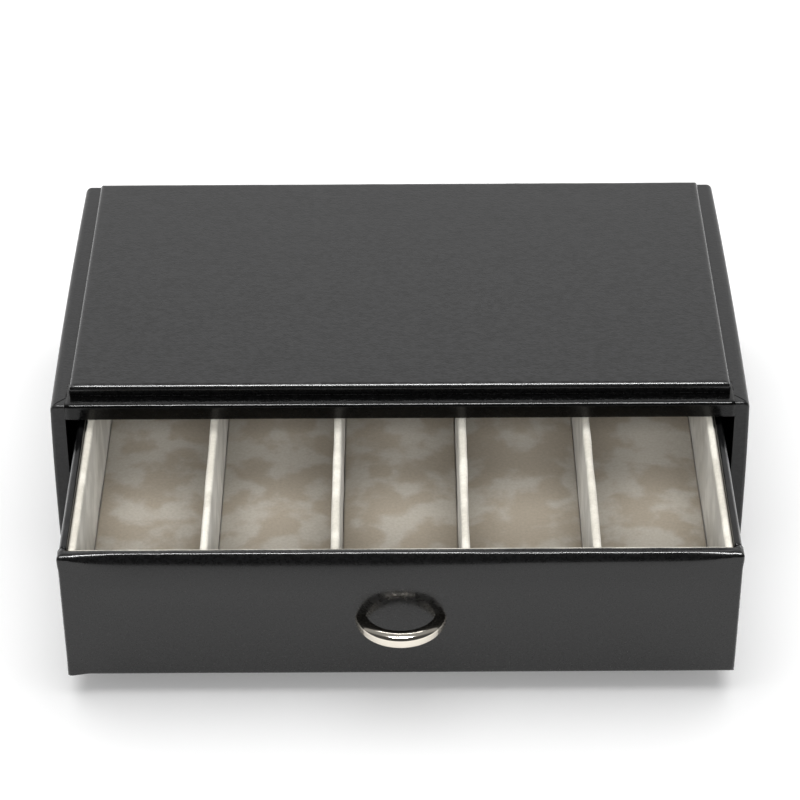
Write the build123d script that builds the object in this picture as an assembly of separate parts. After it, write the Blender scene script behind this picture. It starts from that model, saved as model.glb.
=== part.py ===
from build123d import *
import os

# A stackable leather box with one drawer for cufflinks, in millimetres.
# +X is to the right seen from the front, +Y to the back and +Z up.
# The origin is the centre of the case's footprint, on the surface that it stands on.
# The case is a carcass of boards covered in leather, open at the front. A raised plate on its
# roof drops into the recess under the next box of the stack. The drawer is a second leather-covered
# box, pulled out part of the way, with a velour insert of five compartments and a half-ring pull.

# ---------------------------------------------------------------- case
case_width = 260.0          # over the side edges, before the sides swell
case_depth = 162.0
case_height = 72.5          # to the leather that frames the plate
cover_leather = 1.0         # outer leather with its backing paper
turned_leather = 0.5        # leather pared down where it is turned inside
turn_in = 12.0              # how far turned-in leather runs inwards
lining = 0.5                # black lining of the case's inside
side_board = 3.0
side_foam = 0.8             # foam under the side leather, at its edges
side_swell = 0.9            # how far the padded sides stand out at their middle
end_swell = 0.4             # the same at the side's front and back edges
back_board = 3.0
roof_board = 5.0
bottom_board = 3.0
roof_edge_radius = 2.5      # long upper edges, over the foam
case_corner_radius = 1.2    # upright edges and the roof's front and back edges
fold_width = 0.4            # groove where the leather is folded at a front corner
fold_depth = 0.4

# raised plate on the roof, and the recess under the box that takes the plate below it
plate_side_inset = 6.6
plate_front_inset = 6.5
plate_back_inset = 5.0
plate_board = 3.3
plate_edge_radius = 0.9
plate_overlap = 8.0         # how far the turned-over leather runs under the plate
stack_clearance = 1.0       # all round the plate of the box below
recess_depth = 5.0
recess_felt = 0.5
base_felt = 0.5             # felt under the rim, on which the box stands
base_felt_inset = 1.5       # from the case's outer edges

# ---------------------------------------------------------------- drawer
drawer_pulled_out = 79.8    # how far the drawer stands out at rest
drawer_side_gap = 3.9       # between drawer and case, each side
drawer_top_gap = 3.4
drawer_back_gap = 1.5       # behind the drawer when it is shut
drawer_under_gap = 0.3
drawer_leather = 0.7
drawer_side_board = 1.8
drawer_bottom_board = 2.5
drawer_underside = 0.6
drawer_hem = 12.0           # how far the leather runs down inside the drawer's walls
front_board = 3.2
front_foam = 0.8            # foam under the drawer front's leather, at its edges
front_crown = 1.3           # how far the drawer front swells at its middle
front_end_crown = 0.5       # the same at its pinched ends
front_top_radius = 2.6
front_rear_radius = 2.3     # upper edge on the drawer's inside, opposite the one above
front_foot_radius = 1.6
front_end_radius = 0.6

# velour insert
insert_gap = 0.2            # slack between insert and drawer
insert_top_drop = 1.5       # insert's top below the drawer's
insert_wall = 2.8
insert_card = 1.4           # card that stiffens the walls and dividers
insert_edge_radius = 0.7
insert_front_lining = 1.0
velour = 0.8                # pile and backing over a card's top edge
compartments = 5
divider_wall = 3.0
divider_drop = 1.0          # dividers' top below the insert walls'
floor_card = 1.2
floor_pad = 10.4            # foam under velour, at its edges
floor_pad_crown = 1.4       # how far a pad swells across, between its walls
floor_pad_edge_radius = 1.2
floor_pad_gap = 0.2

# half-ring pull and its fixings
pull_outer_radius = 16.4
pull_sunk = 1.9             # centre of the half ring behind the leather's face
pull_wall = 4.4             # radial
pull_height = 4.8
pull_dome = 1.2             # how far the top of its section is domed
pull_section_radius = 0.8   # lower edges
pull_hole_clearance = 0.2
stud_radius = 1.5
stud_hole_clearance = 0.15
washer_radius = 3.5
washer_thickness = 0.5
nut_flats = 5.5
nut_height = 1.8
nut_bore_clearance = 0.05
pocket_depth = 1.7          # pocket for washer and nut in the back of the front board
pocket_clearance = 0.6

# ---------------------------------------------------------------- worked out from the above
half_width = case_width / 2
case_front = -case_depth / 2
case_back = case_depth / 2
case_middle = (base_felt + case_height) / 2
inner_front = case_front + cover_leather
inner_back = case_back - cover_leather
roof_top = case_height - cover_leather
board_x = half_width - cover_leather - side_foam        # outer face of the side boards
board_inner_x = board_x - side_board
opening_x = board_inner_x - turned_leather
rim_bottom = base_felt + cover_leather
rim_top = recess_depth + recess_felt
floor_board_top = rim_top + bottom_board
opening_floor = floor_board_top + lining
roof_bottom = roof_top - roof_board
opening_roof = roof_bottom - lining
back_board_y = inner_back - back_board
opening_back = back_board_y - lining
turned_y = inner_front + turn_in                        # where turned-in leather meets the lining

plate_x = half_width - plate_side_inset
plate_front = case_front + plate_front_inset
plate_back = case_back - plate_back_inset
plate_top = case_height + plate_board + cover_leather
under_x = plate_x - plate_overlap
under_front = plate_front + plate_overlap
under_back = plate_back - plate_overlap
recess_x = plate_x + stack_clearance
recess_front = plate_front - stack_clearance
recess_back = plate_back + stack_clearance

drawer_x = opening_x - drawer_side_gap
drawer_front = case_front - drawer_pulled_out
drawer_back = opening_back - drawer_back_gap - drawer_pulled_out
drawer_bottom = opening_floor + drawer_under_gap
drawer_top = opening_roof - drawer_top_gap
drawer_board_x = drawer_x - drawer_leather              # outer face of the drawer's side boards
drawer_inner_x = drawer_board_x - drawer_side_board
hem_x = drawer_inner_x - turned_leather
drawer_board_back = drawer_back - drawer_leather
drawer_inner_back = drawer_board_back - drawer_side_board
hem_back = drawer_inner_back - turned_leather
hem_bottom = drawer_top - drawer_hem
front_board_y = drawer_front + cover_leather + front_foam
front_inner_y = front_board_y + front_board
hem_front = front_inner_y + turned_leather
drawer_board_bottom = drawer_bottom + drawer_underside
drawer_board_top = drawer_top - drawer_leather
drawer_floor = drawer_board_bottom + drawer_bottom_board

insert_x = hem_x - insert_gap
insert_inner_x = insert_x - insert_wall
insert_card_x = insert_x - insert_card
insert_front = hem_front + insert_gap
insert_back = hem_back - insert_gap
insert_inner_front = insert_front + insert_front_lining
insert_inner_back = insert_back - insert_wall
insert_top = drawer_top - insert_top_drop
card_top = drawer_floor + floor_card                    # on which walls, dividers and pads stand
divider_top = insert_top - divider_drop
bay_width = (2 * insert_inner_x - (compartments - 1) * divider_wall) / compartments
bay_pitch = bay_width + divider_wall

pull_face_y = drawer_front - front_crown                # the leather's face at the pull
pull_centre_y = pull_face_y + pull_sunk
pull_mid_radius = pull_outer_radius - pull_wall / 2
pull_z = (drawer_bottom + drawer_top) / 2
pocket_y = front_inner_y - pocket_depth
washer_back = pocket_y + washer_thickness
stud_end = washer_back + nut_height

past = 1.0                  # how far a tool shape runs past what it trims


# ---------------------------------------------------------------- helpers
def block(x0, x1, y0, y1, z0, z1):
    centre = Pos((x0 + x1) / 2, (y0 + y1) / 2, (z0 + z1) / 2)
    return centre * Box(x1 - x0, y1 - y0, z1 - z0)


def wide_block(x, y0, y1, z0, z1):
    return block(-x, x, y0, y1, z0, z1)


def outside(x, y, z0, z1):
    """Everything to the right of x, as a tool; mirror it for the left."""
    return block(x, case_width, -y, y, z0, z1)


def mirrored(shape):
    return mirror(shape, Plane.YZ)


def bevelled_back(x, back, z0, z1):
    """What lies behind the two 45 degree mitres that run inwards from the back corners."""
    corner = Polyline((-x - past, back + past), (x + past, back + past), (0, back - x), close=True)
    return extrude(Pos(0, 0, z0) * make_face(corner), z1 - z0)


def edge_off(x, y, z, radius):
    """What rounding takes off an edge along X whose corner lies at y and z."""
    round_bar = Pos(0, y - radius, z - radius) * Rot(0, 90, 0) * Cylinder(radius, 3 * x)
    return wide_block(x, y - radius, y + past, z - radius, z + past) - round_bar


def runs_along(edge, letter):
    size = edge.bounding_box().size
    length = getattr(size, letter)
    return length > 3 * (size.X + size.Y + size.Z - length)


def swollen_block(x, y0, y1, z0, z1, corner, roof_edge):
    """A block whose left and right faces swell towards their middle, with rounded upper edges."""
    low, high, middle = z0 - past, z1 + past, (z0 + z1) / 2
    sections = []
    for y, out, bulge in (
        (y0 - past, 0, end_swell),
        ((y0 + y1) / 2, side_swell - end_swell, side_swell),
        (y1 + past, 0, end_swell),
    ):
        w = x + out
        right = ThreePointArc((w, y, low), (w + bulge, y, middle), (w, y, high))
        left = ThreePointArc((-w, y, high), (-w - bulge, y, middle), (-w, y, low))
        sections.append(Wire([right, Line(right @ 1, left @ 0), left, Line(left @ 1, right @ 0)]))
    wide = x + 4 * side_swell + past
    solid = (Solid.make_loft(sections) & wide_block(wide, y0, y1, z0, z1)).solid()
    roof_edges = [e for e in solid.edges() if runs_along(e, "Y") and e.center().Z > z1 - past]
    solid = fillet(roof_edges, roof_edge).solid()
    uprights = [e for e in solid.edges() if runs_along(e, "Z")]
    return fillet(uprights, corner).solid()


def crowned_block(x, y0, y1, z0, z1, top_radius, foot_radius, end_radius):
    """A block whose front face is crowned, most at its middle, with rounded front edges."""
    low, high, middle = z0 - past, z1 + past, (z0 + z1) / 2
    sections = []
    for at, crown in ((-x - past, front_end_crown), (0, front_crown), (x + past, front_end_crown)):
        face = ThreePointArc((at, y0, low), (at, y0 - crown, middle), (at, y0, high))
        rest = Polyline(face @ 1, (at, y1, high), (at, y1, low), face @ 0)
        sections.append(Wire([face, *rest.edges()]))
    solid = (Solid.make_loft(sections) & wide_block(x, y0 - past - front_crown, y1, z0, z1)).solid()
    front_edges = [e for e in solid.edges() if e.center().Y < y0 + past]
    solid = fillet([e for e in front_edges if runs_along(e, "X") and e.center().Z > middle], top_radius)
    front_edges = [e for e in solid.edges() if e.center().Y < y0 + past and runs_along(e, "X")]
    solid = fillet([e for e in front_edges if abs(e.center().Z - z0) < 1e-3], foot_radius)
    if end_radius:
        ends = [e for e in solid.edges() if runs_along(e, "Z") and e.center().Y < y0 + past]
        solid = fillet(ends, end_radius)
    return solid.solid()


# ---------------------------------------------------------------- case
def case_foam(padded):
    """Foam between the side boards and the leather, right and left."""
    right = (padded & outside(board_x, case_depth, rim_bottom, roof_top)).solid()
    return right, mirrored(right)


def case_boards(padded):
    rim = wide_block(board_x, inner_front, inner_back, rim_bottom, rim_top)
    rim -= recess_block(-past, rim_top + past)
    bottom = wide_block(board_inner_x, inner_front, inner_back, rim_top, floor_board_top)
    right = block(board_inner_x, board_x, inner_front, inner_back, rim_top, roof_bottom)
    back = wide_block(board_inner_x, back_board_y, inner_back, floor_board_top, roof_bottom)
    roof = wide_block(board_x, inner_front, inner_back, roof_bottom, roof_top) & padded
    return {
        "base_rim": rim,
        "bottom_board": bottom,
        "right_side_board": right,
        "left_side_board": mirrored(right),
        "back_board": back,
        "roof_board": roof.solid(),
    }


def recess_block(z0, z1):
    return wide_block(recess_x, recess_front, recess_back, z0, z1)


def case_hide(padded):
    """All of the case's outer leather in one piece, with what is turned into the mouth."""
    hide = swollen_block(
        half_width, case_front, case_back, base_felt, case_height, case_corner_radius, roof_edge_radius
    )
    hide -= padded
    hide -= wide_block(board_x, inner_front, inner_back, roof_bottom, roof_top)
    hide -= wide_block(opening_x, case_front - past, inner_front, opening_floor, opening_roof)
    hide -= wide_block(under_x, under_front, under_back, roof_top, case_height + past)
    hide -= recess_block(-past, rim_bottom)
    turned = wide_block(board_inner_x, inner_front, turned_y, floor_board_top, roof_bottom)
    turned -= wide_block(opening_x, inner_front - past, turned_y + past, opening_floor, opening_roof)
    return hide + turned - corner_folds()


def corner_folds():
    """Grooves on the roof where the leather is folded, from a front corner to the plate."""
    run = max(plate_side_inset, plate_front_inset)
    groove = Rot(0, 0, -45) * Box(2 * run, fold_width, 2 * fold_depth)
    right = Pos(half_width - run / 2, case_front + run / 2, case_height) * groove
    return right + mirrored(right)


def case_leathers(padded):
    hide = case_hide(padded)
    front = wide_block(opening_x, case_front - past, under_front, -past, case_height + past)
    back = bevelled_back(half_width, case_back, -past, case_height + past)
    sides = hide - front - back
    edge = hide & front
    upper = wide_block(opening_x, case_front - past, under_front, case_middle, case_height + past)
    right = (sides & outside(0, case_depth, -past, case_height + past)).solid()
    return {
        "right_side_leather": right,
        "left_side_leather": mirrored(right),
        "back_leather": (hide & back - front).solid(),
        "roof_edge_leather": (edge & upper).solid(),
        "threshold_leather": (edge - upper).solid(),
    }


def case_linings():
    right = block(opening_x, board_inner_x, turned_y, back_board_y, floor_board_top, roof_bottom)
    return {
        "right_lining": right,
        "left_lining": mirrored(right),
        "floor_lining": wide_block(opening_x, turned_y, back_board_y, floor_board_top, opening_floor),
        "roof_lining": wide_block(opening_x, turned_y, back_board_y, opening_roof, roof_bottom),
        "back_lining": wide_block(opening_x, opening_back, back_board_y, opening_floor, opening_roof),
    }


def stack_plate():
    board = wide_block(
        plate_x - cover_leather,
        plate_front + cover_leather,
        plate_back - cover_leather,
        case_height,
        case_height + plate_board,
    )
    leather = wide_block(plate_x, plate_front, plate_back, case_height, plate_top)
    rounded = [e for e in leather.edges() if e.center().Z > case_height + past / 10]
    leather = fillet(rounded, plate_edge_radius) - board
    return {"plate_board": board, "plate_leather": leather.solid()}


def base_pieces():
    x, inset = half_width - base_felt_inset, base_felt_inset
    felt = wide_block(x, case_front + inset, case_back - inset, 0, base_felt)
    felt -= recess_block(-past, base_felt + past)
    return {"base_felt": felt.solid(), "recess_felt": recess_block(recess_depth, rim_top)}


def make_case():
    padded = swollen_block(
        half_width - cover_leather,
        inner_front,
        inner_back,
        rim_bottom,
        roof_top,
        case_corner_radius - cover_leather,
        roof_edge_radius - cover_leather,
    )
    foam, other_foam = case_foam(padded)
    pieces = case_boards(padded)
    pieces |= {"right_side_foam": foam, "left_side_foam": other_foam}
    pieces |= case_leathers(padded)
    pieces |= case_linings()
    pieces |= stack_plate()
    pieces |= base_pieces()
    return pieces


# ---------------------------------------------------------------- drawer
def padded_front():
    """The drawer inside its leather: boards, and foam under the leather of the front."""
    padded = crowned_block(
        drawer_board_x,
        drawer_front + cover_leather,
        drawer_board_back,
        drawer_board_bottom,
        drawer_board_top,
        front_top_radius - cover_leather,
        front_foot_radius - drawer_underside,
        0,
    )
    return padded - edge_off(hem_x, front_inner_y, drawer_board_top, front_rear_radius - turned_leather)


def drawer_boards(padded):
    front = wide_block(drawer_board_x, front_board_y, front_inner_y, drawer_board_bottom, drawer_board_top)
    front = (front & padded).solid() - pull_holes(stud_radius + stud_hole_clearance) - pockets()
    bottom = wide_block(drawer_board_x, front_inner_y, drawer_board_back, drawer_board_bottom, drawer_floor)
    right = block(
        drawer_inner_x, drawer_board_x, front_inner_y, drawer_board_back, drawer_floor, drawer_board_top
    )
    back = wide_block(drawer_inner_x, drawer_inner_back, drawer_board_back, drawer_floor, drawer_board_top)
    foam = padded & wide_block(case_width, drawer_front - past - front_crown, front_board_y, 0, case_height)
    return {
        "drawer_front_board": front.solid(),
        "drawer_bottom_board": bottom,
        "drawer_right_board": right,
        "drawer_left_board": mirrored(right),
        "drawer_back_board": back,
        "drawer_front_foam": (foam - pull_sockets()).solid(),
    }


def drawer_leathers(padded):
    hide = crowned_block(
        drawer_x,
        drawer_front,
        drawer_back,
        drawer_bottom,
        drawer_top,
        front_top_radius,
        front_foot_radius,
        front_end_radius,
    )
    hide -= padded
    hide -= wide_block(hem_x, hem_front, hem_back, drawer_floor, drawer_top + past)
    hem = wide_block(drawer_inner_x, front_inner_y, drawer_inner_back, hem_bottom, drawer_board_top)
    hem -= wide_block(hem_x, hem_front, hem_back, hem_bottom - past, drawer_top + past)
    underside = wide_block(
        drawer_board_x, front_inner_y, drawer_board_back, drawer_bottom, drawer_board_bottom
    )
    hide = hide + hem - underside - pull_sockets()
    hide -= edge_off(hem_x, hem_front, drawer_top, front_rear_radius)
    front = wide_block(case_width, drawer_front - past - front_crown, hem_front, 0, case_height)
    back = Pos(0, drawer_back, 0) * bevelled_back(drawer_x, 0, 0, case_height)
    right = (hide - front - back) & outside(0, case_width, 0, case_height)
    right = right.solid()
    return {
        "drawer_front_leather": (hide & front).solid(),
        "drawer_right_leather": right,
        "drawer_left_leather": mirrored(right),
        "drawer_back_leather": (hide & back - front).solid(),
        "drawer_underside": underside,
    }


def insert_walls():
    """Velour walls, each folded over a card, with a thin lining at the front."""
    side_card = block(insert_card_x, insert_x, insert_front, insert_back, card_top, insert_top - velour)
    right = block(insert_inner_x, insert_x, insert_front, insert_back, card_top, insert_top)
    crest = right.edges().filter_by(Axis.Y).group_by(Axis.Z)[-1].sort_by(Axis.X)[0]
    right = (fillet(crest, insert_edge_radius) - side_card).solid()
    back = wide_block(insert_x, insert_inner_back, insert_back, card_top, insert_top)
    back = fillet(back.edges().filter_by(Axis.X).group_by(Axis.Z)[-1].sort_by(Axis.Y)[0], insert_edge_radius)
    back_card = wide_block(insert_x, insert_back - insert_card, insert_back, card_top, insert_top - velour)
    side_zone = outside(insert_card_x, case_width, 0, case_height)
    back_card -= side_zone + mirrored(side_zone)
    lining_front = wide_block(insert_x, insert_front, insert_inner_front, card_top, insert_top)
    sides = right + mirrored(right) + side_card + mirrored(side_card)
    return {
        "insert_right_wall": right,
        "insert_left_wall": mirrored(right),
        "insert_right_card": side_card,
        "insert_left_card": mirrored(side_card),
        "insert_back_wall": (back - back_card - sides).solid(),
        "insert_back_card": (back_card - sides).solid(),
        "insert_front_lining": (lining_front - sides).solid(),
    }


def divider_places():
    first = -insert_inner_x + bay_width + divider_wall / 2
    return [first + i * bay_pitch for i in range(compartments - 1)]


def dividers():
    """Velour folded over a card; all the dividers are alike."""
    wall = wide_block(divider_wall / 2, insert_inner_front, insert_inner_back, card_top, divider_top)
    wall = fillet(wall.edges().filter_by(Axis.Y).group_by(Axis.Z)[-1], insert_edge_radius)
    half_card = insert_card / 2
    card = wide_block(half_card, insert_inner_front, insert_inner_back, card_top, divider_top - velour)
    wall = (wall - card).solid()
    pieces = {f"divider_{i + 1}": Pos(x, 0, 0) * wall for i, x in enumerate(divider_places())}
    pieces["divider_cards"] = Compound([Pos(x, 0, 0) * card for x in divider_places()])
    return pieces


def floor_pads():
    """A crowned velour pad in each compartment, between the walls beside it."""
    edges = [-insert_inner_x]
    for x in divider_places():
        edges += [x - divider_wall / 2, x + divider_wall / 2]
    edges.append(insert_inner_x)
    pieces = {}
    for i in range(compartments):
        x0, x1 = edges[2 * i] + floor_pad_gap, edges[2 * i + 1] - floor_pad_gap
        pieces[f"compartment_pad_{i + 1}"] = floor_pad_between(x0, x1)
    return pieces


def floor_pad_between(x0, x1):
    y0, y1 = insert_inner_front + floor_pad_gap, insert_inner_back - floor_pad_gap
    edge_z = card_top + floor_pad
    crest = ThreePointArc((x0, edge_z), ((x0 + x1) / 2, edge_z + floor_pad_crown), (x1, edge_z))
    rest = Polyline(crest @ 1, (x1, card_top), (x0, card_top), crest @ 0)
    pad = extrude(Pos(0, y1, 0) * (Plane.XZ * make_face([crest, *rest.edges()])), y1 - y0)
    return fillet(pad.faces().sort_by(Axis.Z)[-1].edges(), floor_pad_edge_radius).solid()


# ---------------------------------------------------------------- pull
def pull_section(clearance=0.0):
    half, base = pull_wall / 2 + clearance, pull_height / 2 + clearance
    dome = ThreePointArc((half, base - pull_dome), (0, base), (-half, base - pull_dome))
    rest = Polyline(dome @ 1, (-half, -base), (half, -base), dome @ 0)
    section = make_face([dome, *rest.edges()])
    return fillet(section.vertices().group_by(Axis.Y)[0], pull_section_radius)


def pull_places(shape):
    """Two copies, where the pull's ends meet the front; they run along Y from there."""
    return [Pos(x, 0, pull_z) * shape for x in (-pull_mid_radius, pull_mid_radius)]


def along_y(profile, y0, y1):
    return extrude(Pos(0, y1, 0) * (Plane.XZ * profile), y1 - y0)


def pull_holes(radius):
    return Part() + pull_places(along_y(Circle(radius), front_board_y - past, front_inner_y + past))


def pull_sockets():
    """Holes in the front's leather and foam that the pull's ends fill."""
    socket = along_y(pull_section(pull_hole_clearance), pull_face_y - past, front_board_y)
    return Part() + pull_places(socket)


def pockets():
    radius = washer_radius + pocket_clearance
    return Part() + pull_places(along_y(Circle(radius), pocket_y, front_inner_y + past))


def pull():
    """Half a ring of domed section whose straight ends stand on the board, with two studs."""
    section = Pos(pull_mid_radius, 0, 0) * (Plane.XZ * pull_section())
    bow = Pos(0, pull_centre_y, pull_z) * revolve(section, Axis.Z, -180)
    ends = pull_places(along_y(pull_section(), pull_centre_y, front_board_y))
    studs = pull_places(along_y(Circle(stud_radius), front_board_y, stud_end))
    return (Part() + bow + ends + studs).solid()


def pull_fixings():
    bore = Circle(stud_radius + nut_bore_clearance)
    washer = along_y(Circle(washer_radius) - bore, pocket_y, washer_back)
    hexagon = RegularPolygon(nut_flats / 2, 6, major_radius=False)
    nut = along_y(hexagon - bore, washer_back, stud_end)
    return {
        "pull": pull(),
        "pull_washers": Compound(pull_places(washer)),
        "pull_nuts": Compound(pull_places(nut)),
    }


def make_drawer():
    padded = padded_front()
    pieces = drawer_boards(padded)
    pieces |= drawer_leathers(padded)
    pieces["floor_card"] = wide_block(insert_x, insert_front, insert_back, drawer_floor, card_top)
    pieces |= insert_walls()
    pieces |= dividers()
    pieces |= floor_pads()
    pieces |= pull_fixings()
    return pieces


os.makedirs("parts", exist_ok=True)
for node, shape in (make_case() | make_drawer()).items():
    shape.label = node
    export_step(shape, f"parts/{node}.step")
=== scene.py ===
import math

import bmesh
import bpy
from mathutils import Matrix, Vector, noise


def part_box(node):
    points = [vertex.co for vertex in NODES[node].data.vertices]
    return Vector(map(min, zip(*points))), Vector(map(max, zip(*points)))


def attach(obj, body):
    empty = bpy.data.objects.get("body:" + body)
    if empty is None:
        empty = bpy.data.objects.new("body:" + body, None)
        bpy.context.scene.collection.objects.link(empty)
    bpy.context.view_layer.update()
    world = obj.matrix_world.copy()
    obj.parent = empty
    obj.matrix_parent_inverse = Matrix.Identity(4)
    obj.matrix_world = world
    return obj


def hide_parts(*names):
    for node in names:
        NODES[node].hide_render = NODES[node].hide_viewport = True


# The looks of a stackable black leather box with a cufflink drawer, in metres, in the frame of the
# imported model: +X right, +Y back, +Z up, with the origin under the middle of the case.
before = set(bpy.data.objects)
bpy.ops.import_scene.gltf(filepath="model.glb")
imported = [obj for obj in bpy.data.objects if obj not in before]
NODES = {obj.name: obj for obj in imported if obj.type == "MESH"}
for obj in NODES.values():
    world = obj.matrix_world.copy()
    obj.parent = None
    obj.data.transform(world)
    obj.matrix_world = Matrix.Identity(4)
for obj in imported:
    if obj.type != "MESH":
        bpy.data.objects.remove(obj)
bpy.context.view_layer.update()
MM = 0.001


# ---------------------------------------------------------------- camera
# Fitted to the case's and drawer's corners in the photograph.
IMAGE_SIDE = 800
FOCAL_PX = 2991.0
TARGET = Vector((0.0, -9.5, 25.9)) * MM
DISTANCE = 1196 * MM
PITCH, YAW, ROLL = (math.radians(a) for a in (34.24, -0.06, -0.33))
SENSOR = 36.0


def make_camera():
    ahead = Vector(
        (math.sin(YAW) * math.cos(PITCH), math.cos(YAW) * math.cos(PITCH), -math.sin(PITCH))
    )
    level = Vector((math.cos(YAW), -math.sin(YAW), 0))
    upright = level.cross(ahead)
    right = level * math.cos(ROLL) + upright * math.sin(ROLL)
    up = upright * math.cos(ROLL) - level * math.sin(ROLL)
    data = bpy.data.cameras.new("camera")
    data.sensor_width = SENSOR
    data.lens = FOCAL_PX / IMAGE_SIDE * SENSOR
    data.clip_start, data.clip_end = 0.05, 20
    camera = bpy.data.objects.new("camera", data)
    bpy.context.scene.collection.objects.link(camera)
    turn = Matrix((right, up, -ahead)).transposed().to_4x4()
    camera.matrix_world = Matrix.Translation(TARGET - ahead * DISTANCE) @ turn
    bpy.context.scene.camera = camera


# ---------------------------------------------------------------- node helpers
def set_range(made, *limits):
    """Sets a Map Range node: from low, from high, to low, to high."""
    for key, number in zip(("From Min", "From Max", "To Min", "To Max"), limits):
        made.inputs[key].default_value = number


class Shader:
    """A material's node tree, with short calls for the nodes that the materials here share."""

    def __init__(self, name):
        self.material = bpy.data.materials.new(name)
        self.material.use_nodes = True
        self.tree = self.material.node_tree
        self.surface = self.tree.nodes["Principled BSDF"]
        self.place = self.node("ShaderNodeTexCoord").outputs["Object"]

    def node(self, kind, **settings):
        made = self.tree.nodes.new(kind)
        for key, value in settings.items():
            setattr(made, key, value)
        return made

    def link(self, source, target):
        self.tree.links.new(source, target)

    def put(self, target, value):
        """Links an output, or sets a constant on the socket itself."""
        if isinstance(value, bpy.types.NodeSocket):
            self.link(value, target)
        else:
            target.default_value = value

    def stretched(self, scale):
        mapping = self.node("ShaderNodeMapping")
        self.link(self.place, mapping.inputs["Vector"])
        mapping.inputs["Scale"].default_value = scale
        return mapping.outputs["Vector"]

    def noise(self, scale, detail=2.0, roughness=0.5, vector=None, distortion=0.0):
        made = self.node("ShaderNodeTexNoise")
        self.link(vector or self.place, made.inputs["Vector"])
        made.inputs["Scale"].default_value = scale
        made.inputs["Detail"].default_value = detail
        made.inputs["Roughness"].default_value = roughness
        made.inputs["Distortion"].default_value = distortion
        return made.outputs["Fac"]

    def cells(self, scale, vector, randomness):
        made = self.node("ShaderNodeTexVoronoi")
        self.link(vector, made.inputs["Vector"])
        made.inputs["Scale"].default_value = scale
        made.inputs["Randomness"].default_value = randomness
        return made.outputs["Distance"]

    def ramp(self, value, low, high, out_low=0.0, out_high=1.0, smooth=True):
        made = self.node("ShaderNodeMapRange")
        made.interpolation_type = "SMOOTHSTEP" if smooth else "LINEAR"
        self.put(made.inputs["Value"], value)
        set_range(made, low, high, out_low, out_high)
        return made.outputs["Result"]

    def math(self, operation, a, b):
        made = self.node("ShaderNodeMath", operation=operation)
        self.put(made.inputs[0], a)
        self.put(made.inputs[1], b)
        return made.outputs["Value"]

    def mix(self, share, a, b):
        made = self.node("ShaderNodeMix", data_type="RGBA")
        self.put(made.inputs[0], share)
        self.put(made.inputs[6], a)
        self.put(made.inputs[7], b)
        return made.outputs[2]

    def bump(self, height, distance, strength=1.0, normal=None):
        made = self.node("ShaderNodeBump")
        self.link(height, made.inputs["Height"])
        made.inputs["Distance"].default_value = distance
        made.inputs["Strength"].default_value = strength
        if normal is not None:
            self.link(normal, made.inputs["Normal"])
        return made.outputs["Normal"]

    def finish(self, **values):
        for key, value in values.items():
            self.put(self.surface.inputs[key.replace("_", " ")], value)
        return self.material


def grey(value):
    return (value, value, value, 1)


# ---------------------------------------------------------------- materials
def leather_material(
    name, stretch, roughness, depth, tone, mottle, specular=0.5, coat=0.0, fine=1.0
):
    """Fine-grained black leather: small cells with creases between them, over a slow undulation."""
    s = Shader(name)
    grain = s.stretched(stretch)
    pebbles = s.cells(1500 * fine, grain, 0.9)
    creases = s.noise(700 * fine, 4, 0.65, grain)
    swell = s.noise(45, 2)
    height = s.math("ADD", s.math("MULTIPLY", pebbles, 0.6), s.math("MULTIPLY", creases, 0.9))
    normal = s.bump(height, depth)
    normal = s.bump(swell, 0.9 * MM, 0.12, normal)
    polish = s.ramp(creases, 0.3, 0.7, roughness - 0.04, roughness + 0.06)
    low, high = ((tone * k, tone * k, tone * k * 1.04, 1) for k in (1 - mottle, 1 + mottle))
    s.surface.inputs["Specular IOR Level"].default_value = specular
    s.surface.inputs["Coat Weight"].default_value = coat
    s.surface.inputs["Coat Roughness"].default_value = 0.12
    colour = s.mix(s.ramp(creases, 0.36, 0.64), low, high)
    return s.finish(Base_Color=colour, Roughness=polish, Normal=normal)


def velour_material(name, dark, light, patch, sheen, streak):
    """Short pile, brushed this way and that, so that soft patches of it look lighter.

    streak draws the fine marks out along z."""
    s = Shader(name)
    clouds = s.noise(patch, 2.5, 0.5, distortion=0.12)
    soft = s.ramp(clouds, 0.43, 0.61)
    fine = s.noise(900, 2, 0.6, s.stretched((1, 1, streak)))
    colour = s.mix(soft, dark, light)
    shade = s.ramp(fine, 0.2, 0.8, 0.88, 1.10, smooth=False)
    tint = s.node("ShaderNodeMix", data_type="RGBA", blend_type="MULTIPLY")
    tint.inputs[0].default_value = 1
    s.link(colour, tint.inputs[6])
    s.link(shade, tint.inputs[7])
    normal = s.bump(s.noise(1400, 2, 0.7), 0.08 * MM, 0.6)
    s.surface.inputs["Sheen Weight"].default_value = sheen
    s.surface.inputs["Sheen Roughness"].default_value = 0.5
    s.surface.inputs["Specular IOR Level"].default_value = 0.1
    return s.finish(Base_Color=tint.outputs[2], Roughness=0.95, Normal=normal)


def plain_material(name, colour, roughness, metallic=0.0):
    s = Shader(name)
    fleck = s.noise(400, 3, 0.6)
    low, high = [tuple(c * k for c in colour[:3]) + (1,) for k in (0.92, 1.06)]
    return s.finish(
        Base_Color=s.mix(fleck, low, high),
        Roughness=s.ramp(fleck, 0.3, 0.7, roughness - 0.03, roughness + 0.03),
        Metallic=metallic,
        Normal=s.bump(s.noise(1200, 2), 0.02 * MM, 0.5),
    )


def nickel_material():
    s = Shader("nickel")
    smears = s.noise(260, 3, 0.6)
    return s.finish(
        Base_Color=s.mix(smears, (0.78, 0.72, 0.62, 1), (0.84, 0.79, 0.70, 1)),
        Metallic=1.0,
        Roughness=s.ramp(smears, 0.3, 0.7, 0.05, 0.11),
        Normal=s.bump(s.noise(500, 2), 0.01 * MM, 0.4),
    )


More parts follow.
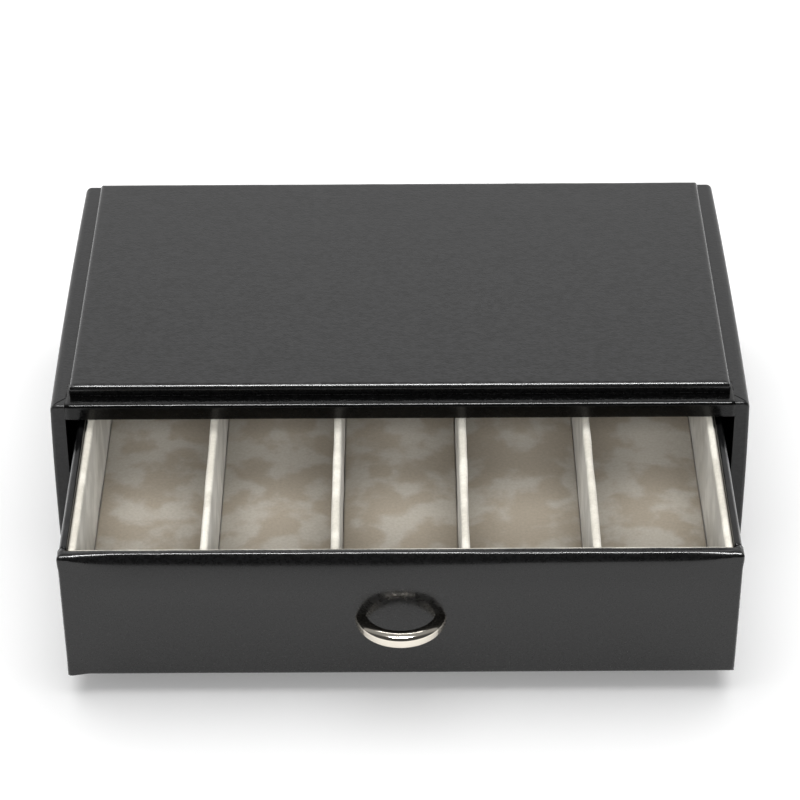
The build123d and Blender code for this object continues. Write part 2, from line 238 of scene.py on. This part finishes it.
def make_materials():
    return {
        "leather_top": leather_material(
            "leather_top", (0.45, 1, 1), roughness=0.36, depth=0.055 * MM, tone=0.0075,
            mottle=0.95, specular=0.4, coat=0.2, fine=1.35,
        ),
        "leather": leather_material(
            "leather", (0.8, 1, 1), roughness=0.27, depth=0.010 * MM, tone=0.004,
            mottle=0.25, specular=0.3, coat=0.5,
        ),
        "leather_fold": leather_material(
            "leather_fold", (1, 0.12, 1), roughness=0.22, depth=0.08 * MM, tone=0.004,
            mottle=0.4, specular=0.3, coat=0.12,
        ),
        # A darker, less glossy copy of the leather: painted shade that keeps the roof's front edge,
        # its ledge and the threshold dark.
        "leather_rim": leather_material(
            "leather_rim", (0.6, 1, 1), roughness=0.24, depth=0.035 * MM, tone=0.0012,
            mottle=0.4, specular=0.15, coat=0.35,
        ),
        "leather_side": leather_material(
            "leather_side", (0.8, 1, 1), roughness=0.34, depth=0.06 * MM, tone=0.008,
            mottle=0.6,
        ),
        "velour_floor": velour_material(
            "velour_floor", (0.272, 0.237, 0.188, 1), (0.338, 0.313, 0.27, 1), 68, 0.15, 1
        ),
        "velour_wall": velour_material(
            "velour_wall", (0.50, 0.475, 0.415, 1), (0.62, 0.595, 0.53, 1), 60, 0.15, 0.1
        ),
        "lining": plain_material("lining", (0.010, 0.010, 0.011), 0.75),
        "felt": plain_material("felt", (0.012, 0.012, 0.012), 0.95),
        "foam": plain_material("foam", (0.6, 0.6, 0.56), 0.9),
        "card": plain_material("card", (0.33, 0.31, 0.27), 0.9),
        "board": plain_material("board", (0.36, 0.27, 0.18), 0.7),
        "steel": plain_material("steel", (0.55, 0.55, 0.55), 0.35, 1.0),
        "nickel": nickel_material(),
    }


def node_material(name):
    """The material that a CAD node takes, by what it is."""
    if name == "plate_leather":
        return "leather_top"
    # The roof edge and threshold take the darker copy of the leather, which paints their shade.
    if name in ("roof_edge_leather", "threshold_leather"):
        return "leather_rim"
    if name in ("right_side_leather", "left_side_leather", "back_leather"):
        return "leather_side"
    if name.endswith("leather"):
        return "leather"
    if name.endswith("foam"):
        return "foam"
    if name.endswith("felt") or name == "drawer_underside":
        return "felt"
    if name.endswith("card") or name == "divider_cards":
        return "card"
    if name.startswith("compartment_pad"):
        return "velour_floor"
    if name.startswith("divider") or name.startswith("insert"):
        return "velour_wall"
    if name.endswith("lining"):
        return "lining"
    if name == "pull":
        return "nickel"
    if name.startswith("pull"):
        return "steel"
    return "board"


def dress(piece, material):
    piece.data.materials.clear()
    piece.data.materials.append(material)


# ---------------------------------------------------------------- shape helpers, in millimetres
KAPPA = 0.5523  # pull of a cubic curve that draws a quarter circle


def box_mm(node):
    low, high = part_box(node)
    return Vector(low) / MM, Vector(high) / MM


def clamp(value):
    return min(max(value, 0.0), 1.0)


def ease(value):
    """0 up to value 0 and 1 from value 1, smooth in between."""
    value = clamp(value)
    return value * value * (3 - 2 * value)


def hump(distance, width):
    return math.exp(-((distance / width) ** 2))


def wave(seed, *place):
    """Smooth noise from -1 to 1 that a seed tells apart."""
    x, y, z = (*place, 0.0, 0.0)[:3]
    return noise.noise(Vector((x, y, z + 17.3 * seed)))


def outline(corners):
    """A closed profile.

    A corner is (a, b, radius in, radius out, steps round it, steps to the next)."""
    turns = []
    for k, (a, b, radius_in, radius_out, steps, _) in enumerate(corners):
        here = Vector((a, b))
        if not steps:
            turns.append([here])
            continue
        start = here + radius_in * (Vector(corners[k - 1][:2]) - here).normalized()
        end = here + radius_out * (Vector(corners[(k + 1) % len(corners)][:2]) - here).normalized()
        first, second = start.lerp(here, KAPPA), end.lerp(here, KAPPA)
        turn = []
        for t in (i / steps for i in range(steps + 1)):
            u = 1 - t
            turn.append(u**3 * start + 3 * u * u * t * first + 3 * u * t * t * second + t**3 * end)
        turns.append(turn)
    points = []
    for k, turn in enumerate(turns):
        following, run = turns[(k + 1) % len(turns)][0], corners[k][5]
        points += turn + [turn[-1].lerp(following, i / run) for i in range(1, run)]
    return points


def swept(name, loops, material, body, *nodes):
    """A closed piece through closed loops, capped at both ends, that stands for CAD nodes."""
    count, last = len(loops[0]), len(loops) - 1
    faces = [tuple(range(count)), tuple(last * count + j for j in range(count))]
    for i in range(last):
        for j in range(count):
            k = (j + 1) % count
            faces.append((i * count + j, i * count + k, (i + 1) * count + k, (i + 1) * count + j))
    mesh = bpy.data.meshes.new(name)
    mesh.from_pydata([tuple(c * MM for c in point) for loop in loops for point in loop], [], faces)
    shape = bmesh.new()
    shape.from_mesh(mesh)
    for face in shape.faces:
        face.smooth = len(face.verts) == 4
    bmesh.ops.triangulate(shape, faces=[f for f in shape.faces if len(f.verts) > 4])
    bmesh.ops.recalc_face_normals(shape, faces=shape.faces)
    shape.to_mesh(mesh)
    shape.free()
    piece = bpy.data.objects.new(name, mesh)
    bpy.context.scene.collection.objects.link(piece)
    dress(piece, material)
    if nodes:
        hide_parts(*nodes)
    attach(piece, body)
    return piece


def spread(start, end, step, fine=0.0, reach=0.0):
    """Places from start to end, a step apart, and a fine step apart within reach of both ends."""
    places, at = [start], start
    while at < end - 1e-6:
        near = min(at - start, end - at) < reach
        at = min(at + (fine if near else step), end)
        places.append(at)
    return places


# ---------------------------------------------------------------- case
PLATE_HIDE = 1.0
PLATE_EDGE, PLATE_DROP = 2.2, 1.9       # its upper edges, on top and down the side
PLATE_CORNER = 0.9
PLATE_SPAN = 30         # how far in from its edges the loops reach
PLATE_WAVE = 0.07       # unevenness of its edges


def make_plate_leather(material, edge_material):
    """The leather over the raised plate: a shallow lid with soft, slightly uneven edges."""
    low, high = box_mm("plate_leather")
    edge, inner_top = 8, high.z - PLATE_HIDE
    path = [(inset, high.z) for inset in (PLATE_SPAN, 12, 6, 3)]
    for i in range(edge + 1):
        turn = math.radians(90 * i / edge)
        path.append((PLATE_EDGE * (1 - math.sin(turn)), high.z - PLATE_DROP * (1 - math.cos(turn))))
    path += [(0, low.z + 1.4), (0, low.z + 0.3), (0.15, low.z), (PLATE_HIDE, low.z)]
    path += [(PLATE_HIDE, inner_top), (PLATE_SPAN, inner_top)]
    loops = []
    for inset, z in path:
        x0, x1, y0, y1 = low.x + inset, high.x - inset, low.y + inset, high.y - inset
        radius = max(PLATE_CORNER - inset, 0.1)
        ring = outline(
            [
                (x0, y0, radius, radius, 4, 90),
                (x1, y0, radius, radius, 4, 56),
                (x1, y1, radius, radius, 4, 90),
                (x0, y1, radius, radius, 4, 56),
            ]
        )
        loop = []
        for x, y in ring:
            soft = PLATE_WAVE * ease(1 - inset / 4) * ease((z - low.z) / 1.5)
            loop.append((x, y + soft * wave(70, x / 8, y / 40), z + soft * wave(71, x / 9, y / 9)))
        loops.append(loop)
    lid = swept("plate_lid", loops, material, "case", "plate_leather")
    lid.data.materials.append(edge_material)
    for face in lid.data.polygons:
        if abs(face.normal.z) < 0.85:
            face.material_index = 1


RIM_HIDE, RIM_LINING = 1.0, 0.5
RIM_EDGE = 1.4          # upper front edge
RIM_WAVE = 0.05
TURN_IN = 12.0


def make_roof_edge(material):
    """The leather of the roof's front edge, turned over it into the case."""
    low, high = box_mm("roof_edge_leather")
    inner_front, tail = low.y + RIM_HIDE, low.y + RIM_HIDE + TURN_IN
    profile = outline(
        [
            (high.y, high.z, 0, 0, 0, 10),
            (low.y, high.z, RIM_EDGE, RIM_EDGE, 8, 8),
            (low.y, low.z, 0.7, 0.7, 5, 8),
            (tail, low.z, 0, 0, 0, 1),
            (tail, low.z + RIM_LINING, 0, 0, 0, 4),
            (inner_front, low.z + RIM_LINING, 0, 0, 0, 4),
            (inner_front, high.z - RIM_HIDE, 0.3, 0.3, 2, 6),
            (high.y, high.z - RIM_HIDE, 0, 0, 0, 1),
        ]
    )
    loops = []
    for x in spread(low.x, high.x, 2):
        loop = []
        for y, z in profile:
            if y < inner_front - 0.1:
                y += RIM_WAVE * wave(72, x / 12, z / 5)
            if z > high.z - 0.4:
                z += RIM_WAVE * wave(73, x / 9, y / 4)
            loop.append((x, y, z))
        loops.append(loop)
    swept("roof_edge", loops, material, "case", "roof_edge_leather")


# ---------------------------------------------------------------- drawer front
FRONT_CROWN, FRONT_END_CROWN = 1.3, 0.5
HEM = 12.0              # how far leather runs down inside the drawer
HIDE, THIN_HIDE = 0.7, 0.5
WALL = 3.0              # drawer wall with its leather, at the sides
UNDERSIDE = 0.6
FRONT_HIDE = 1.0
CORNER = 1.0            # radius of the front's upright edges
CREST_FRONT, CREST_REAR = 2.6, 2.2      # the roll along the top
LEFT_ROLL, RIGHT_ROLL, END_ROLL = 9.0, 6.0, 1.6     # how far the roll reaches down the face
CREST_SLOPE = 0.1       # how much lower the roll is at the front than at the rear
END_ZONE = 26           # stretch at each end over which the roll and the padding die out
PUFF = 0.7              # how far the padding stands out below the roll
PUFF_DROP, PUFF_SPREAD = 12, 7          # how far below the top it is fullest, and how wide
FOOT = 1.5              # radius along the foot
FOOT_TAPER = 0.55       # how far the ends draw in towards the foot
CORNER_SWELL = 0.4      # how far the roll stands out past the ends
GROOVE_DEPTH, GROOVE_WIDTH = 0.42, 0.42     # of the groove along the roll's right half
FOLD = 0.16             # depth of the folds that run down from the upper corners
TIP_HEIGHT = 0.12       # share of the height that the lower corners' tips take up
TIP_IN, TIP_DOWN, TIP_OUT = 0.5, 0.7, 0.8   # how far they turn; only the left one goes down and out


def rightward(x):
    """0 at the left, where the padding is full, and 1 at the right, where it is flatter."""
    return ease((x + 10) / 70)


def face_roll(x, half):
    """How far down the face the padding rolls off: much at the left, pinched at the ends."""
    full = LEFT_ROLL + (RIGHT_ROLL - LEFT_ROLL) * rightward(x)
    full += 0.9 * wave(3, x / 22)
    return END_ROLL + (full - END_ROLL) * ease((half - abs(x)) / END_ZONE) ** 0.8


def front_profile(x, half, depth, bottom, top):
    hem, inner = top - HEM, depth - THIN_HIDE
    return outline(
        [
            (depth, hem, 0, 0, 0, 6),
            (depth, top, CREST_REAR, CREST_REAR, 10, 1),
            (0, top, CREST_FRONT, face_roll(x, half), 18, 24),
            (0, bottom, FOOT, FOOT, 8, 3),
            (inner, bottom, 0, 0, 0, 1),
            (inner, bottom + UNDERSIDE, 0, 0, 0, 3),
            (FRONT_HIDE, bottom + UNDERSIDE, FOOT - UNDERSIDE, FOOT - UNDERSIDE, 3, 9),
            (FRONT_HIDE, top - HIDE, 4.5, 1.9, 5, 1),
            (inner, top - HIDE, 1.6, 1.6, 4, 4),
            (inner, hem, 0, 0, 0, 1),
        ]
    )


def front_moved(x, y, z, inset, share, half, bottom, top):
    """Where the padding and the folds take a point of the drawer front's leather."""
    height = (z - bottom) / (top - bottom)
    level = (z - (bottom + top) / 2) / ((top - bottom) / 2 + 1)
    middle = 1 - (x / half) ** 2
    crown = (FRONT_END_CROWN + (FRONT_CROWN - FRONT_END_CROWN) * middle) * (1 - level * level)
    y -= crown * share * clamp((3 - inset) / 2)
    near_end = half - abs(x)
    side = math.copysign(1, x)
    if inset < 0.9:
        full = 1 - 0.6 * rightward(x)
        y -= share * PUFF * full * hump(top - z - PUFF_DROP, PUFF_SPREAD) * ease(near_end / END_ZONE)
        x -= side * FOOT_TAPER * (1 - height) ** 1.3 * ease(1 - near_end / 14)
        x += side * CORNER_SWELL * hump(top - z - 2.6, 2.4) * ease(1 - near_end / 9)
        y -= 0.06 * wave(1, x / 30, z / 14)
    z -= CREST_SLOPE * clamp(1 - inset / 5.5) * clamp((z - top + 3) / 2.2) * ease(near_end / 10)
    if z > top - 1.6:
        ridge = ease((x - 5) / 60) * ease(near_end / 12)
        z -= GROOVE_DEPTH * ridge * hump(inset - 2.7, GROOVE_WIDTH)
        z += 0.10 * wave(2, x / 7, inset / 2) * ease(near_end / 5)
    if inset < 3 and height > 0.7:
        outer_fold = hump(near_end - 3.2 - 9 * (1 - height), 0.9)
        inner_fold = hump(near_end - 6.5 - 16 * (1 - height), 1.1)
        y += FOLD * (outer_fold + 0.7 * inner_fold) * ease((height - 0.7) / 0.3)
    if height < TIP_HEIGHT:
        reach = 9 if side < 0 else 5
        tip = (1 - ease(near_end / reach)) * (1 - height / TIP_HEIGHT) * clamp((2 - inset) / 2)
        x -= side * TIP_IN * tip * share * share
        if side < 0:
            z -= TIP_DOWN * tip
            y -= TIP_OUT * tip
    return x, y, z


def make_front_leather(material):
    low, high = box_mm("drawer_front_leather")
    half, face, rear = high.x, low.y + FRONT_CROWN, high.y
    bottom, top, depth = low.z, high.z, high.y - low.y - FRONT_CROWN
    loops = []

    def station(x, place, share):
        loop = []
        for inset, z in front_profile(x, half, depth, bottom, top):
            across = inset * WALL / depth
            at_x, at_y = place(across, inset)
            loop.append(front_moved(at_x, at_y, z, inset, share, half, bottom, top))
        loops.append(loop)

    def side_place(side, along):
        return lambda across, inset: (
            side * (half - across),
            rear + (face + max(CORNER, inset) - rear) * along,
        )

    def turn_place(side, angle):
        return lambda across, inset: (
            side * (half - max(CORNER, across) + max(CORNER - across, 0) * math.cos(angle)),
            face + max(CORNER, inset) - max(CORNER - inset, 0) * math.sin(angle),
        )

    def front_place(share):
        return lambda across, inset: (share * (half - max(CORNER, across)), face + inset)

    turns = [math.radians(15 * i) for i in range(1, 6)]
    for along in (0, 0.4, 0.8, 1):
        station(-half, side_place(-1, along), 0)
    for angle in turns:
        station(-half, turn_place(-1, angle), math.sin(angle))
    for x in spread(-half, half, 1.7, 0.7, END_ZONE):
        station(x, front_place(x / half), 1)
    for angle in reversed(turns):
        station(half, turn_place(1, angle), math.sin(angle))
    for along in (1, 0.8, 0.4, 0):
        station(half, side_place(1, along), 0)
    swept("front_leather", loops, material, "drawer", "drawer_front_leather")


def make_front_foam(material):
    """The foam under the front's leather, shaped to the leather's inner side."""
    skin_low, skin_high = box_mm("drawer_front_leather")
    low, high = box_mm("drawer_front_foam")
    face, front = skin_low.y + FRONT_CROWN, FRONT_HIDE + 0.05
    back = high.y - face
    top = min(high.z, skin_high.z - 2.2)
    profile = outline(
        [
            (back, low.z, 0, 0, 0, 4),
            (back, top, 0, 0, 0, 1),
            (front, top, back - front - 0.1, 2.6, 6, 8),
            (front, low.z, 0, 0, 0, 1),
        ]
    )
    edges = (skin_high.x, skin_low.z, skin_high.z)
    loops = []
    for x in spread(low.x, high.x, 3):
        loops.append([front_moved(x, face + inset, z, inset, 1, *edges) for inset, z in profile])
    swept("front_foam", loops, material, "drawer", "drawer_front_foam")


# ---------------------------------------------------------------- drawer sides
SIDE_BULGE = 0.85


def make_side_leather(side, node, material):
    """The leather of one drawer side, turned over the wall's top, soft and a little wrinkled."""
    low, high = box_mm(node)
    half = max(abs(low.x), abs(high.x))
    bottom, top, hem = low.z, high.z, high.z - HEM
    profile = outline(
        [
            (WALL, hem, 0, 0, 0, 5),
            (WALL, top, 1.2, 1.2, 6, 1),
            (0, top, 1.7, 2.6, 10, 22),
            (0, bottom, 0.7, 0.7, 4, 1),
            (HIDE, bottom, 0, 0, 0, 1),
            (HIDE, top - HIDE, 0, 0, 0, 2),
            (WALL - THIN_HIDE, top - HIDE, 0, 0, 0, 4),
            (WALL - THIN_HIDE, hem, 0, 0, 0, 1),
        ]
    )
    loops = []
    for y in spread(low.y, high.y, 1.5):
        along = (y - low.y) / (high.y - low.y)
        loop = []
        for inset, z in profile:
            at_y = low.y + along * (high.y - inset - low.y)
            level = (z - (bottom + top) / 2) / ((top - bottom) / 2)
            x = half - inset
            if inset < 0.65:
                x += SIDE_BULGE * (1 - level * level) * ease(along * 12) * ease((1 - along) * 12)
                x += 0.10 * wave(side, at_y / 7, z / 16) * (1 - level**4)
            if z > top - 0.6:
                z -= 0.15 * hump(inset - 1.6, 0.5) + 0.09 * wave(side + 5, at_y / 6, inset / 2)
            if z > top - 0.6 and inset > 2:
                x += 0.12 * wave(side + 9, at_y / 9)
            loop.append((side * x, at_y, z))
        loops.append(loop)
    swept(node.replace("drawer_", "") + "_skin", loops, material, "drawer", node)


# ---------------------------------------------------------------- velour insert
CARD = 1.4
PILE = 0.8              # velour over a card's top edge
DIVIDER_CREST = 1.25    # radius along a divider's top
SHADOW_GAP = 0.35       # between the velour and the drawer's leather, at the top


def make_wall(side, node, material):
    """A side wall of the insert: velour over a card, soft and not quite straight."""
    low, high = box_mm(node)
    outer = max(abs(low.x), abs(high.x))
    thick = high.x - low.x
    profile = outline(
        [
            (SHADOW_GAP, high.z - PILE, 0, 0, 0, 1),
            (SHADOW_GAP, high.z, 0.5, 0.5, 4, 2),
            (thick, high.z, 1.0, 1.2, 7, 16),
            (thick, low.z, 0, 0, 0, 1),
            (CARD, low.z, 0, 0, 0, 1),
            (CARD, high.z - PILE, 0, 0, 0, 1),
        ]
    )
    loops = []
    for y in spread(low.y, high.y, 2):
        loop = []
        for inset, z in profile:
            x = outer - inset
            if inset > CARD + 0.1:
                depth = (high.z - z) / (high.z - low.z)
                x -= 0.35 * wave(side + 20, y / 26, z / 20) * ease(depth * 6)
                x -= 0.12 * wave(side + 23, y / 7, z / 30)
            if z > high.z - 0.7:
                z += 0.14 * wave(side + 26, y / 13)
            loop.append((side * x, y, z))
        loops.append(loop)
    swept(node.replace("insert", "velour"), loops, material, "drawer", node)


def make_divider(number, material):
    """One divider: velour folded over a card, its crest a little wavy."""
    node = f"divider_{number}"
    low, high = box_mm(node)
    middle, half = (low.x + high.x) / 2, (high.x - low.x) / 2
    crest = DIVIDER_CREST
    profile = outline(
        [
            (-half, low.z, 0, 0, 0, 16),
            (-half, high.z, crest, crest, 7, 1),
            (half, high.z, crest, crest, 7, 16),
            (half, low.z, 0, 0, 0, 1),
            (CARD / 2, low.z, 0, 0, 0, 1),
            (CARD / 2, high.z - PILE, 0, 0, 0, 1),
            (-CARD / 2, high.z - PILE, 0, 0, 0, 1),
            (-CARD / 2, low.z, 0, 0, 0, 1),
        ]
    )
    loops = []
    for y in spread(low.y, high.y, 2):
        loop = []
        for across, z in profile:
            x = across
            if abs(across) > CARD / 2 + 0.1:
                x += math.copysign(0.22, across) * wave(number + 30, y / 16, z / 15)
                x += 0.16 * wave(number + 36, y / 34) * (z - low.z) / (high.z - low.z)
            if z > high.z - 0.7:
                z += 0.15 * wave(number + 42, y / 11)
            loop.append((middle + x, y, z))
        loops.append(loop)
    swept(f"velour_{node}", loops, material, "drawer", node)


def make_cross_wall(node, sign, thick_card, material):
    """The insert's back wall or front lining; sign is 1 where its open face looks to the front."""
    low, high = box_mm(node)
    outer, inner = (high.y, low.y) if sign > 0 else (low.y, high.y)
    thick = high.y - low.y
    corners = [
        (0, high.z, 0.3, 0.3, 3, 2),
        (thick, high.z, 0.45, 0.6, 5, 14),
        (thick, low.z, 0, 0, 0, 1),
    ]
    if thick_card:
        corners += [(thick_card, low.z, 0, 0, 0, 1), (thick_card, high.z - PILE, 0, 0, 0, 1)]
        corners += [(0, high.z - PILE, 0, 0, 0, 1)]
    else:
        corners += [(0, low.z, 0, 0, 0, 8)]
    loops = []
    for x in spread(low.x, high.x, 3):
        loop = []
        for inset, z in outline(corners):
            y = outer - sign * inset
            if inset > thick * 0.8:
                y += 0.12 * wave(50 + sign, x / 15, z / 14)
            if z > high.z - 0.4:
                z += 0.10 * wave(53 + sign, x / 12)
            loop.append((x, y, z))
        loops.append(loop)
    swept(node.replace("insert", "velour"), loops, material, "drawer", node)


PAD_EDGE = 1.0          # radius of a pad's upper edges
PAD_CROWN = 1.4
PAD_WAVE = 0.18


def make_pad(number, material):
    """The padded floor of one compartment: foam under velour, fullest at its middle."""
    node = f"compartment_pad_{number}"
    low, high = box_mm(node)
    edge = high.z - PAD_CROWN
    profile = outline(
        [
            (low.x, low.z, 0, 0, 0, 4),
            (low.x, edge, PAD_EDGE, PAD_EDGE, 5, 22),
            (high.x, edge, PAD_EDGE, PAD_EDGE, 5, 4),
            (high.x, low.z, 0, 0, 0, 1),
        ]
    )
    loops = []
    for y in spread(low.y, high.y, 2.2, 0.2, PAD_EDGE):
        along = 2 * (y - low.y) / (high.y - low.y) - 1
        from_end = min(y - low.y, high.y - y)
        lost = max(PAD_EDGE - from_end, 0)
        drop = PAD_EDGE - math.sqrt(max(PAD_EDGE**2 - lost**2, 0))
        loop = []
        for x, z in profile:
            across = 2 * (x - low.x) / (high.x - low.x) - 1
            lift = (z - low.z) / (edge - low.z)
            crown = 1.15 * PAD_CROWN * (1 - abs(across) ** 2.6) * (1 - abs(along) ** 12)
            crown += PAD_WAVE * wave(number + 60, x / 13, y / 13) * (1 - across**4) * (1 - along**4)
            loop.append((x, y, z + (crown - drop) * lift))
        loops.append(loop)
    pad = swept(f"velour_pad_{number}", loops, material, "drawer", node)


# ---------------------------------------------------------------- pull
PULL_WIDE, PULL_TALL = 4.8, 4.8     # section at the middle of the bow
PULL_DOME = 1.8         # how far the top slopes down to the outer face
PULL_CREST = 0.74       # share of the width that slopes
PULL_FOOT = 0.8         # radius of its lower edges
STUD, STUD_INSET = 1.5, 2.2     # a stud's radius, and how far in from the ring's edge it stands
STUD_LENGTH = 3.8
STUD_TIP = 0.3          # bevel at its end


def make_pull(material):
    """A half ring that is widest at its middle, on two studs that are hidden in the front."""
    low, high = box_mm("pull")
    radius, middle_z = high.x, (low.z + high.z) / 2
    centre_y, board_y = low.y + radius, high.y - STUD_LENGTH
    stations = [(-90, board_y), (-90, (board_y + centre_y) / 2)]
    stations += [(angle, None) for angle in range(-90, 91, 3)]
    stations += [(90, (board_y + centre_y) / 2), (90, board_y)]
    loops = []
    for angle, y in stations:
        turn = math.radians(angle)
        full = math.cos(turn) ** 1.4
        wide = PULL_WIDE * (0.8 + 0.2 * full)
        half = PULL_TALL / 2 * (0.84 + 0.16 * full)
        profile = outline(
            [
                (0, -half, PULL_FOOT, PULL_FOOT, 5, 2),
                (wide, -half, PULL_FOOT, PULL_FOOT, 5, 4),
                (wide, half, 0.7, 0.22 * wide, 10, 1),
                (0, half, PULL_CREST * wide, PULL_DOME, 12, 5),
            ]
        )
        loop = []
        for inset, z in profile:
            reach = radius - inset
            at_y = y if y is not None else centre_y - reach * math.cos(turn)
            loop.append((reach * math.sin(turn), at_y, middle_z + z))
        loops.append(loop)
    swept("half_ring", loops, material, "drawer", "pull")
    turns = [math.radians(15 * i) for i in range(24)]
    for side in (-1, 1):
        x = side * (radius - STUD_INSET)
        loops = []
        for y, r in ((board_y - 0.5, STUD), (high.y - STUD_TIP, STUD), (high.y, STUD - STUD_TIP)):
            loops.append([(x + r * math.cos(a), y, middle_z + r * math.sin(a)) for a in turns])
        swept("stud_right" if side > 0 else "stud_left", loops, material, "drawer")


# ---------------------------------------------------------------- stage
# What glossy surfaces see behind the camera, above, and behind the object.
DARK, CEILING, PALE = 0.065, 0.3, 1.0
AMBIENT = 0.4           # the world for all other rays
FLOOR_HALF = 4.0
FLOOR_TONE = 0.86
FLOOR_LIFT = 0.25       # makes the lit floor as white as the backdrop
# Each lamp's place, aim, width, depth and power.
LAMPS = {
    "strip": ((0.0, -0.25, 1.3), (0, -0.1, 0), 0.6, 0.12, 18),
    "fill": ((0.0, -0.4, 1.4), (0, -0.1, 0), 1.2, 0.9, 14),
    "front": ((0.0, -1.5, 0.95), (0, -0.05, 0.04), 1.4, 0.5, 40),
    "sky": ((0.0, 0.6, 3.0), (0, 0.6, 0), 4.0, 4.0, 101),
}


def make_floor():
    corners = [(x * FLOOR_HALF, y * FLOOR_HALF, 0) for x, y in ((-1, -1), (1, -1), (1, 1), (-1, 1))]
    mesh = bpy.data.meshes.new("floor")
    mesh.from_pydata(corners, [], [(0, 1, 2, 3)])
    floor = bpy.data.objects.new("floor", mesh)
    bpy.context.scene.collection.objects.link(floor)
    s = Shader("floor")
    s.surface.inputs["Base Color"].default_value = grey(FLOOR_TONE)
    s.surface.inputs["Roughness"].default_value = 0.9
    s.surface.inputs["Specular IOR Level"].default_value = 0.0
    s.surface.inputs["Emission Color"].default_value = grey(1)
    path = s.node("ShaderNodeLightPath").outputs
    lift = s.math("ADD", path["Is Camera Ray"], path["Is Glossy Ray"])
    s.put(s.surface.inputs["Emission Strength"], s.math("MULTIPLY", lift, FLOOR_LIFT))
    dress(floor, s.material)
    return floor


def area_light(name, place, aim, width, depth, watts):
    data = bpy.data.lights.new(name, "AREA")
    data.shape = "RECTANGLE"
    data.size, data.size_y = width, depth
    data.energy = watts
    light = bpy.data.objects.new(name, data)
    light.location = place
    light.rotation_euler = (Vector(aim) - Vector(place)).to_track_quat("-Z", "Y").to_euler()
    bpy.context.scene.collection.objects.link(light)
    return light


def make_light():
    """Even light from all round, which glossy surfaces see as pale behind and dark behind the
    camera, a bright strip above for the highlights along the edges, soft lamps above and in front
    for the velour, and a wide one above for the floor alone."""
    world = bpy.data.worlds.new("studio")
    bpy.context.scene.world = world
    world.use_nodes = True
    tree = world.node_tree
    tree.nodes.clear()
    out = tree.nodes.new("ShaderNodeOutputWorld")
    background = tree.nodes.new("ShaderNodeBackground")
    coord = tree.nodes.new("ShaderNodeTexCoord")
    split = tree.nodes.new("ShaderNodeSeparateXYZ")
    seen = tree.nodes.new("ShaderNodeMath")
    seen.operation = "ADD"
    steps = ((-0.25, 0.1, DARK, CEILING), (0.45, 0.92, 0, PALE - CEILING))
    for k, (start, end, low, high) in enumerate(steps):
        fade = tree.nodes.new("ShaderNodeMapRange")
        fade.interpolation_type = "SMOOTHSTEP"
        set_range(fade, start, end, low, high)
        tree.links.new(split.outputs["Y"], fade.inputs["Value"])
        tree.links.new(fade.outputs["Result"], seen.inputs[k])
    path = tree.nodes.new("ShaderNodeLightPath")
    shown = tree.nodes.new("ShaderNodeMix")
    glossy = tree.nodes.new("ShaderNodeMix")
    tree.links.new(coord.outputs["Generated"], split.inputs[0])
    tree.links.new(path.outputs["Is Glossy Ray"], glossy.inputs[0])
    glossy.inputs[2].default_value = AMBIENT
    tree.links.new(seen.outputs[0], glossy.inputs[3])
    tree.links.new(path.outputs["Is Camera Ray"], shown.inputs[0])
    tree.links.new(glossy.outputs[0], shown.inputs[2])
    shown.inputs[3].default_value = 1.0
    tree.links.new(shown.outputs[0], background.inputs["Strength"])
    background.inputs["Color"].default_value = grey(1)
    tree.links.new(background.outputs[0], out.inputs["Surface"])
    lamps = {name: area_light(name, *settings) for name, settings in LAMPS.items()}
    for name in ("fill", "front", "sky"):
        lamps[name].visible_glossy = False
    return lamps


def link_light(light, pieces, state):
    """The light reaches these pieces alone (INCLUDE) or all but these (EXCLUDE)."""
    group = bpy.data.collections.new(light.name + "_" + state.lower())
    for k, piece in enumerate(pieces):
        group.objects.link(piece)
        group.collection_objects[k].light_linking.link_state = state
    light.light_linking.receiver_collection = group


# ---------------------------------------------------------------- build
make_camera()
FLOOR = make_floor()
LIGHTS = make_light()
MATERIALS = make_materials()
for node_name, node in NODES.items():
    dress(node, MATERIALS[node_material(node_name)])

make_front_leather(MATERIALS["leather"])
make_front_foam(MATERIALS["foam"])
for side, hand in ((1, "right"), (-1, "left")):
    make_side_leather(side, f"drawer_{hand}_leather", MATERIALS["leather_fold"])
    make_wall(side, f"insert_{hand}_wall", MATERIALS["velour_wall"])
for number in range(1, 5):
    make_divider(number, MATERIALS["velour_wall"])
for number in range(1, 6):
    make_pad(number, MATERIALS["velour_floor"])
make_cross_wall("insert_back_wall", 1, CARD, MATERIALS["velour_wall"])
make_cross_wall("insert_front_lining", -1, 0, MATERIALS["velour_wall"])

make_pull(MATERIALS["nickel"])
make_plate_leather(MATERIALS["leather_top"], MATERIALS["leather"])
make_roof_edge(MATERIALS["leather_rim"])

velour = [
    piece
    for piece in bpy.data.objects
    if piece.type == "MESH"
    and piece.active_material
    and piece.active_material.name.startswith("velour")
]
link_light(LIGHTS["strip"], [FLOOR] + velour, "EXCLUDE")
link_light(LIGHTS["fill"], velour, "INCLUDE")
link_light(LIGHTS["front"], velour, "INCLUDE")
link_light(LIGHTS["sky"], [FLOOR], "INCLUDE")

bpy.context.scene.view_settings.view_transform = "Standard"
